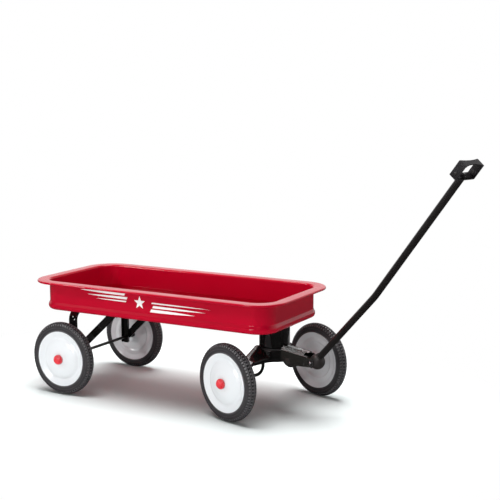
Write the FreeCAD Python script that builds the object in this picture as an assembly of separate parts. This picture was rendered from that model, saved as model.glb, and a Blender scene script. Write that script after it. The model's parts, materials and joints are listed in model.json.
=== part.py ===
"""A child's pull wagon: pressed steel tray, fixed rear axle, steered front axle and a folding pull handle.

Millimetres. +X is forward, +Y is the wagon's left, +Z is up. The origin is on the floor, midway between
the two axles. The front truck is stored turned a little to the right, with the handle raised.
"""

import FreeCAD, Part
import math
import os

V = FreeCAD.Vector
ORIGIN = V(0, 0, 0)
AXIS_X, AXIS_Y, AXIS_Z = V(1, 0, 0), V(0, 1, 0), V(0, 0, 1)

# ---- driving dimensions ----
WHEELBASE = 638.0
TRACK = 372.6                    # between the tyres' middle planes
WHEEL_R = 112.6
STEER_REST = -17.35              # degrees, how far the stored truck is turned
REAR_X, KING_X = -WHEELBASE / 2, WHEELBASE / 2
SHEET = 1.0                      # the tray's steel
PLATE = 2.5                      # brackets and bolsters

TRAY_L, TRAY_W = 870.0, 407.0    # over the rim
TRAY_X = -13.5                   # the tray's middle, from the origin
TRAY_BOTTOM, TRAY_TOP = 255.0, 347.0
RIM_W = 37.0                     # how far the rim stands out from the wall
CORNER_R = 56.0                  # the wall's corner, outside
FLOOR_R = 30.0                   # the flat floor's corner
CURL = 6.8                       # height of the rim's rolled edge
BEAD_OUT, BEAD_H = 4.8, 25.0     # the swelling round the tray's foot
TRAY_FLOOR = TRAY_BOTTOM + SHEET

AXLE_R = 4.75
RUNNING = 0.1                    # radial clearance of a running fit
TYRE_HALF = 15.0                 # half the tyre's width
TYRE_BEAD_R = 83.0               # where the tyre sits in the wheel
LIP_R = 85.2                     # the wheel discs' outer edge
DISC = 1.4                       # the wheel discs' steel
AXLE_END = TRACK / 2 + 29.0      # from the middle plane to an axle's tip

DRUM_R = 45.0                    # steering pedestal
FLANGE_R = 58.0
EAR_Y, EAR_HALF = 78.0, 27.0     # the flange's ears: reach across the wagon, and half their width
EAR_BOLT_X, EAR_BOLT_Y = 14.0, 66.0
CUP_R = 50.0                     # round middle of the front bolster
CUP_BOTTOM, CUP_TOP = 150.0, 183.0
RING_GAP = 0.3                   # bearing ring over the bolster
KING_R = 6.5
BEAM_HALF = 24.0                 # half the front bolster's width
BEAM_END = 150.0                 # half its length
BEAM_TOP = 194.0                 # its humps, beside the pedestal
BEAM_LIP = 157.0                 # its front edge, where the sloping hood ends
AXLE_CRANK = 47.0                # where the front axle turns up, either side of the middle
AXLE_MID_Z = 161.0               # the front axle's raised middle
SADDLE_Y, SADDLE_W = 24.0, 14.0  # blocks that hold that middle up inside the cup
TAB_HALF = 14.0                  # half the tongue's tab under the cup
RIVET_A, RIVET_Y = 35.0, (-8.0, 8.0)   # the tab's two rivets

PIVOT_A, PIVOT_Z = 163.0, 167.5  # handle hinge, ahead of the king pin and above the floor
PIVOT_R = 3.5
RIDGE_FALL = 2.6                 # degrees the tongue's top falls toward its nose
FORK_HALF = 20.0                 # outer faces of the tongue's fork
KNUCKLE_A, KNUCKLE_Z, KNUCKLE_R = 172.0, 171.0, 22.0
KNUCKLE_HALF = 16.9
TUBE_R, TUBE_WALL = 9.5, 1.5
LOWER_TILT, UPPER_TILT = 45.5, 51.25  # the handle tube's two straight lengths, above the horizontal
LOWER_L, UPPER_L = 300.0, 427.0
TUBE_RISE = 3.9                  # how far the tube's line passes above the ball's centre
TUBE_BEND_R = 260.0
GRIP_W, GRIP_H, GRIP_D = 76.0, 46.0, 24.0
GRIP_T = 3.0
YOKE_T = 2.0
GRIP_RIVET_H = 14.5              # the grip's side rivets, above its foot

LEG_Y = 139.5                    # outer face of the rear bolster's legs
LEG_W = 26.0
LEG_DEPTH = 9.0                  # how far the legs' edges turn inboard
LEG_CHAMFER = 4.0                # the corners of their feet
BRACE_TILT = 42.5
BRACE_W = 22.0

SOLIDS = {}


# ---- helpers ----
def rounded(points, closed=False, place=lambda a, b: V(a, b, 0)):
    """A wire through (a, b, radius) points, with a tangent arc of that radius at each corner."""
    count = len(points)
    flat = [V(p[0], p[1], 0) for p in points]
    radius = [p[2] if len(p) > 2 else 0.0 for p in points]
    entry, leave, middle = {}, {}, {}
    for i in range(count):
        if radius[i] <= 0 or (not closed and i in (0, count - 1)):
            entry[i] = leave[i] = flat[i]
            continue
        back = (flat[i - 1] - flat[i]).normalize()
        ahead = (flat[(i + 1) % count] - flat[i]).normalize()
        half = back.getAngle(ahead) / 2
        reach = radius[i] / math.tan(half)
        entry[i], leave[i] = flat[i] + back * reach, flat[i] + ahead * reach
        towards = (back + ahead).normalize()
        middle[i] = flat[i] + towards * (radius[i] / math.sin(half) - radius[i])
    edges = []
    for i in range(count if closed else count - 1):
        j = (i + 1) % count
        if (leave[i] - entry[j]).Length > 1e-6:
            edges.append(Part.LineSegment(place(*leave[i][:2]), place(*entry[j][:2])).toShape())
        if j in middle and (closed or j != count - 1):
            ends = [place(*p[:2]) for p in (entry[j], middle[j], leave[j])]
            edges.append(Part.Arc(*ends).toShape())
    return Part.Wire(Part.__sortEdges__(edges))


def in_xz(a, b):
    return V(a, 0, b)


def in_yz(a, b):
    return V(0, a, b)


def mirror_points(points):
    """The same points on the other side of the middle, in the order that carries the outline on."""
    return [(-p[0],) + tuple(p[1:]) for p in reversed(points)]


def sheet_face(points, thickness, place=lambda a, b: V(a, b, 0)):
    """The section of a bent sheet: a path on one face of it, thickened to one side."""
    wire = rounded(points, False, place)
    return wire.makeOffset2D(thickness, 2, True, True)


def slab(points, depth, place, along):
    """A closed outline extruded by depth, centred on the drawing plane."""
    face = Part.Face(rounded(points, True, place))
    solid = face.extrude(along * depth)
    solid.translate(along * (-depth / 2))
    return solid


def turned(points, place=lambda a, b: V(a, b, 0), axis=AXIS_Y):
    """A closed section revolved once round an axis through the origin."""
    return Part.Face(rounded(points, True, place)).revolve(ORIGIN, axis, 360)


def rod(start, end, radius):
    way = end - start
    return Part.makeCylinder(radius, way.Length, start, way)


def tube(start, end, outer, inner):
    return rod(start, end, outer).cut(rod(start, end, inner))


def hex_prism(centre, across_flats, height, axis=AXIS_Z):
    corner = across_flats / math.sqrt(3)
    angles = [math.radians(60 * k) for k in range(7)]
    ring = [V(corner * math.cos(a), corner * math.sin(a), 0) for a in angles]
    solid = Part.Face(Part.makePolygon(ring)).extrude(AXIS_Z * height)
    solid.Placement = FreeCAD.Placement(centre, FreeCAD.Rotation(AXIS_Z, axis))
    return solid


def mirrored(shape):
    """The same shape on the other side of the wagon's middle plane."""
    return shape.mirror(ORIGIN, AXIS_Y)


def moved(shape, where):
    out = shape.copy()
    out.translate(where)
    return out


def keep(name, *shapes):
    """Stores the solids of a node."""
    solids = [s for shape in shapes for s in shape.Solids]
    SOLIDS[name] = solids[0] if len(solids) == 1 else Part.makeCompound(solids)


def steered(shape):
    """From the truck's own frame, ahead = +X from the king pin, to where it is stored."""
    out = shape.copy()
    out.rotate(ORIGIN, AXIS_Z, STEER_REST)
    out.translate(V(KING_X, 0, 0))
    return out


def keep_steered(name, *shapes):
    keep(name, *[steered(s) for s in shapes])


# ---- tray ----
def wall_section():
    """The tray's wall from its floor to the rolled rim, drawn outward from a corner's centre."""
    inner = CORNER_R + RIM_W - SHEET
    under = TRAY_TOP - SHEET
    return [
        (FLOOR_R, TRAY_BOTTOM),
        (CORNER_R + BEAD_OUT, TRAY_BOTTOM, 11),
        (CORNER_R + BEAD_OUT, TRAY_BOTTOM + BEAD_H * 0.62, 7),
        (CORNER_R, TRAY_BOTTOM + BEAD_H, 7),
        (CORNER_R, under, 5),
        (inner, under, CURL / 2 - SHEET),
        (inner, TRAY_TOP - CURL + SHEET, CURL / 2 - SHEET - 0.01),
        (inner - 4.0, TRAY_TOP - CURL + SHEET),
    ]


def tray():
    half_x = TRAY_L / 2 - RIM_W - CORNER_R      # corner centres
    half_y = TRAY_W / 2 - RIM_W - CORNER_R
    section = sheet_face(wall_section(), SHEET, in_xz)
    quarter = section.revolve(ORIGIN, AXIS_Z, 90)
    pieces = []
    for k in range(4):
        corner = quarter.copy()
        corner.rotate(ORIGIN, AXIS_Z, 90 * k)
        sx, sy = (1, -1, -1, 1)[k], (1, 1, -1, -1)[k]
        corner.translate(V(sx * half_x, sy * half_y, 0))
        pieces.append(corner)
        run = 2 * (half_x if k % 2 else half_y)
        side = section.extrude(AXIS_Y * run)
        side.translate(V(half_y if k % 2 else half_x, -run / 2, 0))
        side.rotate(ORIGIN, AXIS_Z, 90 * k)
        pieces.append(side)
    outline = [(sx * (half_x + FLOOR_R), sy * (half_y + FLOOR_R), FLOOR_R)
               for sx, sy in ((1, 1), (-1, 1), (-1, -1), (1, -1))]
    floor = Part.Face(rounded(outline, True)).extrude(AXIS_Z * SHEET)
    floor.translate(AXIS_Z * TRAY_BOTTOM)
    shell = floor.fuse(pieces).removeSplitter()
    shell.translate(AXIS_X * TRAY_X)
    for x, y in floor_bolts():
        shell = shell.cut(rod(V(x, y, TRAY_BOTTOM - 1), V(x, y, TRAY_FLOOR + 1), 3.3))
    return shell


def pedestal_bolts():
    return [(KING_X + sx * EAR_BOLT_X, sy * EAR_BOLT_Y) for sx in (-1, 1) for sy in (-1, 1)]


def bolster_bolts():
    return [(REAR_X, sy * y) for sy in (-1, 1) for y in (50.0, 95.0)]


def brace_foot():
    """Ahead of the rear axle and out from the middle plane: the screw of a brace's foot."""
    return REAR_X + 160.0, LEG_Y - 15.0


def brace_bolts():
    x, y = brace_foot()
    return [(x, -y), (x, y)]


def floor_bolts():
    return pedestal_bolts() + bolster_bolts() + brace_bolts()


def carriage_bolt(x, y, length):
    """Domed head on the tray's floor, shank down through it."""
    head_r, head_h = 8.0, 3.2
    dome = [(0, 0), (head_r, 0), (head_r, 0.8, 0.5), (4.5, head_h - 0.4, 6), (0, head_h)]
    head = turned(dome, in_xz, AXIS_Z)
    shank = rod(V(0, 0, -length), V(0, 0, 0.2), 3.0)
    return moved(head.fuse(shank).removeSplitter(), V(x, y, TRAY_FLOOR))


def flange_nut(x, y, top):
    nut = hex_prism(V(x, y, top - 6.5), 10.0, 5.0).fuse(rod(V(x, y, top - 1.5), V(x, y, top), 8.0))
    return nut.removeSplitter().cut(rod(V(x, y, top - 8), V(x, y, top + 1), 3.1))


def fasteners(name, places, thickness):
    """A carriage bolt and a flange nut at each place, through the tray and a plate under it."""
    keep(name + "_bolts", *[carriage_bolt(x, y, SHEET + thickness + 9.0) for x, y in places])
    keep(name + "_nuts", *[flange_nut(x, y, TRAY_BOTTOM - thickness) for x, y in places])


# ---- steering pedestal, fixed under the tray ----
def pedestal():
    """Round drum with a floor for the king pin, open on top, and a flange with an ear on each side."""
    foot = CUP_TOP + RING_GAP + 4.2
    under = TRAY_BOTTOM - PLATE
    path = [(KING_R + 0.5, foot), (DRUM_R, foot, 4), (DRUM_R, under, 7), (FLANGE_R, under)]
    drum = sheet_face(path, PLATE, in_xz).revolve(ORIGIN, AXIS_Z, 360)
    outline = [(sx * EAR_HALF, sy * EAR_Y, 12) for sx, sy in ((1, 1), (-1, 1), (-1, -1), (1, -1))]
    ears = Part.Face(rounded(outline, True)).extrude(AXIS_Z * PLATE)
    ears.translate(AXIS_Z * under)
    ears = ears.cut(rod(V(0, 0, under - 1), V(0, 0, TRAY_BOTTOM + 1), FLANGE_R - 1))
    drum = drum.fuse(ears).removeSplitter()
    drum.translate(AXIS_X * KING_X)
    for x, y in pedestal_bolts():
        drum = drum.cut(rod(V(x, y, TRAY_BOTTOM - 6), V(x, y, TRAY_BOTTOM + 1), 3.3))
    return drum


def bearing_ring():
    low, high = CUP_TOP + RING_GAP, CUP_TOP + RING_GAP + 4.2
    return tube(V(KING_X, 0, low), V(KING_X, 0, high), DRUM_R + 2, KING_R + RUNNING)


def king_pin():
    seat = CUP_TOP + RING_GAP + 4.2 + PLATE
    head = turned([(0, seat), (11, seat), (11, seat + 3, 2.5), (0, seat + 6, 0)], in_xz, AXIS_Z)
    shank = rod(V(0, 0, AXLE_MID_Z + 7.0), V(0, 0, seat + 1), KING_R - 0.1)
    return moved(head.fuse(shank).removeSplitter(), AXIS_X * KING_X)


def king_nut():
    top = CUP_TOP - PLATE - RING_GAP
    nut = hex_prism(V(0, 0, top - 9.5), 19.0, 8.0).fuse(rod(V(0, 0, top - 1.5), V(0, 0, top), 15.0))
    return moved(nut.removeSplitter().cut(rod(V(0, 0, 160), V(0, 0, 190), KING_R)), AXIS_X * KING_X)


# ---- rear bolster, braces and axle ----
def bolster_ring(inset, low):
    """The inverted U of the rear bolster, a given distance in from its outer face, down to low."""
    top = TRAY_BOTTOM - inset
    y = LEG_Y - inset
    turn = 34.0 - inset
    return [(-y, low), (-y, top, turn), (y, top, turn), (y, low)]


def bolster_inside(depth, low, turn):
    """The way back round the inside of that U, a given depth in from its outer face."""
    y, top = LEG_Y - depth, TRAY_BOTTOM - depth
    return [(y, low), (y, top, turn), (-y, top, turn), (-y, low)]


def rear_bolster():
    """Channel bent to an inverted U, open inward, with an axle hole and two small holes in each leg."""
    low = 93.0
    outer = bolster_ring(0, low) + bolster_inside(LEG_DEPTH, low, 25)
    hollow = bolster_ring(PLATE, low - 5) + bolster_inside(LEG_DEPTH + 5, low - 5, 20)
    frame = slab(outer, LEG_W, in_yz, AXIS_X)
    frame = frame.cut(slab(hollow, LEG_W - 2 * PLATE, in_yz, AXIS_X))
    for sx in (-1, 1):
        edge = sx * LEG_W / 2
        shape = [(edge, low), (edge, low + LEG_CHAMFER), (edge - sx * LEG_CHAMFER, low)]
        frame = frame.cut(slab(shape, 400, in_xz, AXIS_Y))
    frame = frame.cut(rod(V(0, -200, WHEEL_R), V(0, 200, WHEEL_R), AXLE_R + RUNNING))
    for z, x in ((234.0, 0.5), (226.0, 7.5)):
        for sy in (-1, 1):
            frame = frame.cut(rod(V(x, sy * 120, z - 3), V(x, sy * 160, z + 1), 2.2))
    frame.translate(AXIS_X * REAR_X)
    for x, y in bolster_bolts():
        frame = frame.cut(rod(V(x, y, TRAY_BOTTOM - 20), V(x, y, TRAY_BOTTOM + 1), 3.3))
    return frame.removeSplitter()


def rear_brace():
    """The right brace: a strap outside the leg, up and forward from the axle to a foot under the tray."""
    thick = 2.5
    rise = TRAY_BOTTOM - WHEEL_R
    reach = rise / math.tan(math.radians(BRACE_TILT))
    half = BRACE_W / 2
    side = half / math.sin(math.radians(BRACE_TILT))
    ux, uz = math.cos(math.radians(BRACE_TILT)), math.sin(math.radians(BRACE_TILT))
    back, low = -9.0, -15.0          # its end, alongside the leg
    slope, lift = uz / ux, half / ux
    outline = [(back, back * slope + lift, 2), (back, low, 2), ((low + lift) / slope, low, 4),
               (reach + side, rise), (reach - side, rise)]
    strap = slab(outline, thick, in_xz, AXIS_Y)
    strap.translate(AXIS_Y * (-LEG_Y - thick / 2))
    lip_start, lip = 45.0, 6.0
    for sign in (-1, 1):
        x0, z0 = lip_start * ux - sign * uz * half, lip_start * uz + sign * ux * half
        end = (rise - z0) / uz
        inner = thick if sign < 0 else -thick
        band = [(x0, z0), (x0 + end * ux, z0 + end * uz),
                (x0 + end * ux - inner * uz, z0 + end * uz + inner * ux), (x0 - inner * uz, z0 + inner * ux)]
        flange = slab(band, lip, in_xz, AXIS_Y)
        flange.translate(AXIS_Y * (-LEG_Y + lip / 2))
        strap = strap.fuse(flange)
    foot = [(reach - side - 2, -LEG_Y - thick), (reach + side + 2, -LEG_Y - thick),
            (reach + side + 2, -LEG_Y + 26, 8), (reach - side - 2, -LEG_Y + 26, 8)]
    sole = Part.Face(rounded(foot, True)).extrude(AXIS_Z * thick)
    sole.translate(AXIS_Z * (rise - thick))
    keep_below = Part.makeBox(400, 400, rise + 60, V(-100, -300, -60))
    strap = strap.common(keep_below).fuse(sole)
    strap.translate(V(REAR_X, 0, WHEEL_R))
    strap = strap.cut(rod(V(REAR_X, -200, WHEEL_R), V(REAR_X, 0, WHEEL_R), AXLE_R + RUNNING))
    x, y = brace_foot()
    strap = strap.cut(rod(V(x, -y, TRAY_BOTTOM - 9), V(x, -y, TRAY_BOTTOM + 1), 3.3))
    return strap.removeSplitter()


def rear_axle():
    return rod(V(REAR_X, -AXLE_END, WHEEL_R), V(REAR_X, AXLE_END, WHEEL_R), AXLE_R)


# ---- wheels, drawn round +Y with the outer side at +Y ----
def tyre():
    bead, top = TYRE_BEAD_R, WHEEL_R
    side = [(bead, 12.2, 1), (87.0, 12.2, 0.5), (88.6, 14.2, 2), (94.0, TYRE_HALF, 10),
            (103.5, TYRE_HALF, 12)]
    crown = [(top, 6.5, 14), (top, -6.5, 14)]
    return turned([(r, -y, turn) for r, y, turn in side] + crown[::-1] + side[::-1])


def disc(path):
    return sheet_face(path, DISC).revolve(ORIGIN, AXIS_Y, 360)


def outer_disc():
    """Pressed face of the wheel: a flat lip, a band sloping in, a crease and a dome up to the hub."""
    return disc([(9.0, 20.7), (30.0, 20.4, 60), (56.0, 13.0, 40), (64.0, 8.6, 5), (69.5, 9.2, 5),
                 (82.0, 14.2, 8), (LIP_R, 14.5)])


def inner_disc():
    """Back of the wheel: the same lip, with a shallower step down to the hub."""
    return disc([(9.0, -9.0), (18.0, -9.0, 4), (30.0, -2.0, 12), (52.0, -4.2, 12), (58.0, -8.6, 5),
                 (70.0, -8.6, 5), (79.5, -13.4, 3), (LIP_R, -15.9)])


def wheel_rim():
    """The ring between the two discs that the tyre stretches over."""
    return tube(V(0, -11.6, 0), V(0, 11.6, 0), TYRE_BEAD_R - 0.2, TYRE_BEAD_R - 1.6)


def hub_sleeve():
    """Bearing sleeve through the wheel, shouldered inside each disc."""
    section = [(AXLE_R + RUNNING, -17.0), (8.6, -17.0, 1), (8.6, 21.9, 1), (AXLE_R + RUNNING, 21.9)]
    return turned(section)


def washer(offset, thick, outer):
    return tube(V(0, offset, 0), V(0, offset + thick, 0), outer, AXLE_R + 0.15)


def push_nut():
    """Sprung collar on the axle's end, which keeps the wheel on."""
    collar = tube(V(0, 24.2, 0), V(0, 27.0, 0), 6.4, AXLE_R + 0.15)
    return washer(23.0, 1.2, 7.5).fuse(collar).removeSplitter()


def hub_cap():
    """Round cap over the axle's end, hollow for the push nut."""
    base, top, outer = 22.8, 36.5, 15.0
    inside = [(0, 30.5), (8.2, 30.5), (8.2, base)]
    return turned([(0, top), (9.0, top - 0.3, 9), (outer, 30.0, 8), (outer, base, 1.2)] + inside[::-1])


def on_axle(shape, middle, side):
    """From the wheel's own frame to an axle's end: side is -1 on the wagon's right."""
    out = shape.copy() if side > 0 else shape.mirror(ORIGIN, AXIS_Y)
    out.translate(middle + V(0, side * TRACK / 2, 0))
    return out


WHEEL_PARTS = {"tyre": tyre, "wheel_face": outer_disc, "wheel_back": inner_disc, "wheel_rim": wheel_rim,
               "hub_sleeve": hub_sleeve, "push_nut": push_nut, "hub_cap": hub_cap}


def wheels():
    for end, x, place in (("rear", REAR_X, lambda s: s), ("front", 0.0, steered)):
        inboard = LEG_Y + 2.5 if end == "rear" else BEAM_END
        for name, side in (("right", -1), ("left", 1)):
            for part, make in WHEEL_PARTS.items():
                shape = on_axle(make(), V(x, 0, WHEEL_R), side)
                keep(f"{end}_{name}_{part}", place(shape))
        start, end_y = inboard + 0.2, TRACK / 2 - 17.4
        spacers = [tube(V(x, s * start, WHEEL_R), V(x, s * end_y, WHEEL_R), 7.5, AXLE_R + RUNNING)
                   for s in (-1, 1)]
        keep(f"{end}_axle_spacers", *[place(s) for s in spacers])


# ---- front bolster and axle, in the truck's own frame ----
def beam_outline(inset):
    """Front view of the arched bolster, right half then left, shrunk all round by inset."""
    end = BEAM_END - inset
    foot = 98.0 if inset == 0 else 80.0
    right = [(end, foot), (end, 146 - inset, 10), (121.0, 153 - inset, 30), (57.0, BEAM_TOP - inset, 12),
             (49.0, BEAM_TOP - inset, 4), (49.0, CUP_TOP - inset)]
    arch = [(112.0, 149.0, 14), (126.0, 134.0, 14), (130.0, 98.0)] if inset == 0 else [(130.0, 80.0)]
    return right + mirror_points(right) + mirror_points(arch) + arch


def hood_outline(inset):
    """Side view of the bolster: upright behind, a crown, and a hood curving down to the front lip."""
    back, front = -BEAM_HALF + inset, BEAM_HALF - inset
    low = 98.0 if inset == 0 else 80.0
    return [(back, low), (back, BEAM_TOP - inset, 9 - inset), (-5.0, BEAM_TOP - 1 - inset, 20),
            (front, BEAM_LIP + 6 - inset, 12), (front, low)]


def front_bolster():
    """Pressed arch, open below, with a round cup in the middle for the pedestal to turn on."""
    outer, inner = [slab(beam_outline(inset), 2 * BEAM_HALF, in_yz, AXIS_X).common(
        slab(hood_outline(inset), 400, in_xz, AXIS_Y)) for inset in (0, PLATE)]
    cup = turned([(0, CUP_BOTTOM), (CUP_R, CUP_BOTTOM), (CUP_R, CUP_TOP, 2.0), (0, CUP_TOP)], in_xz, AXIS_Z)
    well = rod(V(0, 0, CUP_BOTTOM - 30), V(0, 0, CUP_TOP - PLATE), CUP_R - PLATE)
    clear = rod(V(0, 0, CUP_TOP), V(0, 0, CUP_TOP + 30), DRUM_R + 2.4)
    body = outer.fuse(cup).cut(inner.fuse(well)).cut(clear)
    body = body.cut(rod(V(0, 0, 170), V(0, 0, 190), KING_R + 0.3))
    body = body.cut(rod(V(0, -200, WHEEL_R), V(0, 200, WHEEL_R), AXLE_R + RUNNING))
    room = 0.3
    corner = V(35, -TAB_HALF - room, CUP_TOP - 2 * PLATE - room)
    body = body.cut(Part.makeBox(30, 2 * (TAB_HALF + room), PLATE + room, corner))
    for y in RIVET_Y:
        body = body.cut(rod(V(RIVET_A, y, 170), V(RIVET_A, y, 190), 3.1))
    return body.removeSplitter()


def front_axle():
    """One rod: out of each wheel, up into the bolster and across."""
    low_bend, high_bend = 25.0, 12.0
    path = [(-AXLE_END, WHEEL_R), (-AXLE_CRANK, WHEEL_R, low_bend), (-AXLE_CRANK, AXLE_MID_Z, high_bend),
            (AXLE_CRANK, AXLE_MID_Z, high_bend), (AXLE_CRANK, WHEEL_R, low_bend), (AXLE_END, WHEEL_R)]
    spine = rounded(path, False, in_yz)
    circle = Part.Wire(Part.makeCircle(AXLE_R, V(0, -AXLE_END, WHEEL_R), AXIS_Y))
    return spine.makePipeShell([circle], True, False)


def axle_saddles():
    """Two blocks under the cup's top, each with a cap below the axle and two screws up through both."""
    blocks, caps, screws = [], [], []
    split, low = AXLE_MID_Z + 0.3, AXLE_MID_Z - 7.3
    for y in (-SADDLE_Y, SADDLE_Y):
        y0 = y - SADDLE_W / 2
        groove = rod(V(0, y0 - 1, AXLE_MID_Z), V(0, y0 + SADDLE_W + 1, AXLE_MID_Z), AXLE_R + RUNNING)
        block = Part.makeBox(26, SADDLE_W, CUP_TOP - PLATE - split, V(-13, y0, split))
        cap = Part.makeBox(26, SADDLE_W, 7.0, V(-13, y0, low))
        for x in (-9, 9):
            hole = rod(V(x, y, low - 5), V(x, y, low + 19), 1.6)
            block, cap = block.cut(hole), cap.cut(hole)
            head = rod(V(x, y, low - 2), V(x, y, low), 3.0)
            shank = rod(V(x, y, low - 1), V(x, y, low + 17), 1.5)
            screws.append(head.fuse(shank).removeSplitter())
        blocks.append(block.cut(groove))
        caps.append(cap.cut(groove))
    keep_steered("axle_saddles", *blocks)
    keep_steered("axle_saddle_caps", *caps)
    keep_steered("saddle_screws", *screws)


# ---- tongue and handle, in the truck's own frame ----
def handle_point(tilt, start, distance):
    """A distance from a point, at a tilt above the horizontal."""
    angle = math.radians(tilt)
    return start + V(math.cos(angle), 0, math.sin(angle)) * distance


BALL = V(KNUCKLE_A, 0, KNUCKLE_Z)
TUBE_FOOT = handle_point(LOWER_TILT + 90, BALL, TUBE_RISE)
ELBOW = handle_point(LOWER_TILT, TUBE_FOOT, LOWER_L)
GRIP_FOOT = handle_point(UPPER_TILT, ELBOW, UPPER_L)


def tongue():
    """Pressed channel with two ridges along its top; ahead of them only its sides go on, as a fork."""
    side, ridge = FORK_HALF, 11.0
    top, valley = 196.5, 188.5
    half = [(-side, 120.0), (-side, 183.5, 3), (-ridge, top, 4)]
    section = half + [(0.0, valley, 6)] + mirror_points(half)
    channel = sheet_face(section, PLATE, in_yz).extrude(AXIS_X * 160)
    channel.translate(AXIS_X * 30)
    channel.rotate(V(110, 0, valley), AXIS_Y, RIDGE_FALL)
    nose = PIVOT_A + 11.5
    profile = [(20, 152), (56, 152, 10), (66, 143, 12), (88, 143, 12), (100, 150, 12), (130, 152.5, 60),
               (nose, PIVOT_Z - 11.0, 11), (nose, PIVOT_Z + 13.5, 11), (PIVOT_A, PIVOT_Z + 14.5),
               (PIVOT_A - 18, PIVOT_Z + 14.5, 10), (PIVOT_A - 19, 230), (20, 230)]
    body = channel.common(slab(profile, 120, in_xz, AXIS_Y))
    body = body.cut(rod(V(0, 0, 120), V(0, 0, 240), CUP_R + 0.2))
    body = body.cut(hinge_sweep())
    tab = Part.makeBox(50, 2 * TAB_HALF, PLATE, V(26, -TAB_HALF, CUP_TOP - 2 * PLATE))
    wings = Part.makeBox(22, 2 * side - 1, PLATE, V(54, 0.5 - side, CUP_TOP - 2 * PLATE))
    body = body.fuse([tab, wings])
    body = body.cut(rod(V(PIVOT_A, -30, PIVOT_Z), V(PIVOT_A, 30, PIVOT_Z), PIVOT_R + RUNNING))
    for y in RIVET_Y:
        body = body.cut(rod(V(RIVET_A, y, 170), V(RIVET_A, y, 190), 3.1))
    return body.removeSplitter()


def hinge_sweep():
    """The room the ball and the tube need between the fork's sides as the handle tilts."""
    return rod(V(PIVOT_A, 1 - FORK_HALF, PIVOT_Z), V(PIVOT_A, FORK_HALF - 1, PIVOT_Z), 35.0).common(
        Part.makeBox(200, 2 * (FORK_HALF - PLATE), 200, V(100, PLATE - FORK_HALF, 100)))


def tongue_rivets():
    made = []
    for y in RIVET_Y:
        low = CUP_TOP - 2 * PLATE
        head = rod(V(RIVET_A, y, low - 2.0), V(RIVET_A, y, low), 5.0)
        made.append(head.fuse(rod(V(RIVET_A, y, low - 1), V(RIVET_A, y, CUP_TOP), 3.0)).removeSplitter())
    return made


def knuckle():
    """Ball end of the handle, flat where the fork holds it, bored for the hinge bolt and the tube."""
    between_forks = Part.makeBox(80, 2 * KNUCKLE_HALF, 80, BALL - V(40, KNUCKLE_HALF, 40))
    ball = Part.makeSphere(KNUCKLE_R, BALL).common(between_forks)
    seat, mouth, past = [handle_point(LOWER_TILT, TUBE_FOOT, d) for d in (7.0, 22.0, 40.0)]
    collar = rod(seat + (mouth - seat) * 0.13, mouth, 12.4)
    socket = rod(seat, past, TUBE_R + 0.1)
    bore = rod(V(PIVOT_A, -30, PIVOT_Z), V(PIVOT_A, 30, PIVOT_Z), PIVOT_R + RUNNING)
    return ball.fuse(collar).cut(socket).cut(bore).removeSplitter()


def handle_tube():
    start = handle_point(LOWER_TILT, TUBE_FOOT, 7.2)
    end = handle_point(UPPER_TILT, GRIP_FOOT, -0.2)
    spine = rounded([(start.x, start.z), (ELBOW.x, ELBOW.z, TUBE_BEND_R), (end.x, end.z)], False, in_xz)
    way = (ELBOW - start).normalize()
    skins = [spine.makePipeShell([Part.Wire(Part.makeCircle(r, start, way))], True, False)
             for r in (TUBE_R, TUBE_R - TUBE_WALL)]
    return skins[0].cut(skins[1])


def grip_local(shape):
    """From the grip's own frame, up the tube = +Z, to the end of the handle."""
    out = shape.copy()
    out.rotate(ORIGIN, AXIS_Y, 90 - UPPER_TILT)
    out.translate(GRIP_FOOT)
    return out


def grip_outline(inset, corner):
    half, low, high = GRIP_W / 2 - inset, inset, GRIP_H - inset
    return [(-half, low, corner), (half, low, corner), (half, high, corner), (-half, high, corner)]


def waisted(band, half_length):
    """Draws both edges of the band's far side in towards their middle, the front one further."""
    for side, sag in ((-1, 2.6), (1, 7.0)):
        radius = (half_length ** 2 + sag ** 2) / (2 * sag)
        x = side * (GRIP_D / 2 - sag + radius)
        band = band.cut(rod(V(x, 0, GRIP_H - GRIP_T - 2), V(x, 0, GRIP_H + 20), radius))
    return band


def handle_grip():
    """A flat band bent round to a rectangle, its far side waisted, holed for the tube and two rivets."""
    band = slab(grip_outline(0, 2.0), GRIP_D, in_yz, AXIS_X)
    band = band.cut(slab(grip_outline(GRIP_T, 2.0), GRIP_D + 2, in_yz, AXIS_X))
    band = waisted(band, GRIP_W / 2 - 5)
    band = band.cut(rod(V(0, 0, -5), V(0, 0, 5), TUBE_R + 0.3))
    for side in (-1, 1):
        band = band.cut(rod(V(0, side * 20, GRIP_RIVET_H), V(0, side * 50, GRIP_RIVET_H), 2.6))
    return band.removeSplitter()


def grip_yoke():
    """Bracket inside the grip's foot: a floor with two ears, and a domed plug down into the tube."""
    half = GRIP_W / 2 - GRIP_T - 0.15
    low = GRIP_T + 0.15
    path = [(half, 20.0), (half, low, 2.5), (-half, low, 2.5), (-half, 20.0)]
    strap = sheet_face(path, YOKE_T, in_yz).extrude(AXIS_X * 16)
    strap.translate(AXIS_X * -8)
    stem = TUBE_R - TUBE_WALL - 0.1
    outline = [(0, -14), (stem, -14), (stem, 0.1), (TUBE_R, 0.1), (TUBE_R, 9.0, 5), (0, 11.0)]
    plug = turned(outline, in_xz, AXIS_Z)
    yoke = strap.fuse(plug)
    for side in (-1, 1):
        yoke = yoke.cut(rod(V(0, side * 20, GRIP_RIVET_H), V(0, side * 50, GRIP_RIVET_H), 2.6))
    return yoke.removeSplitter()


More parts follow.
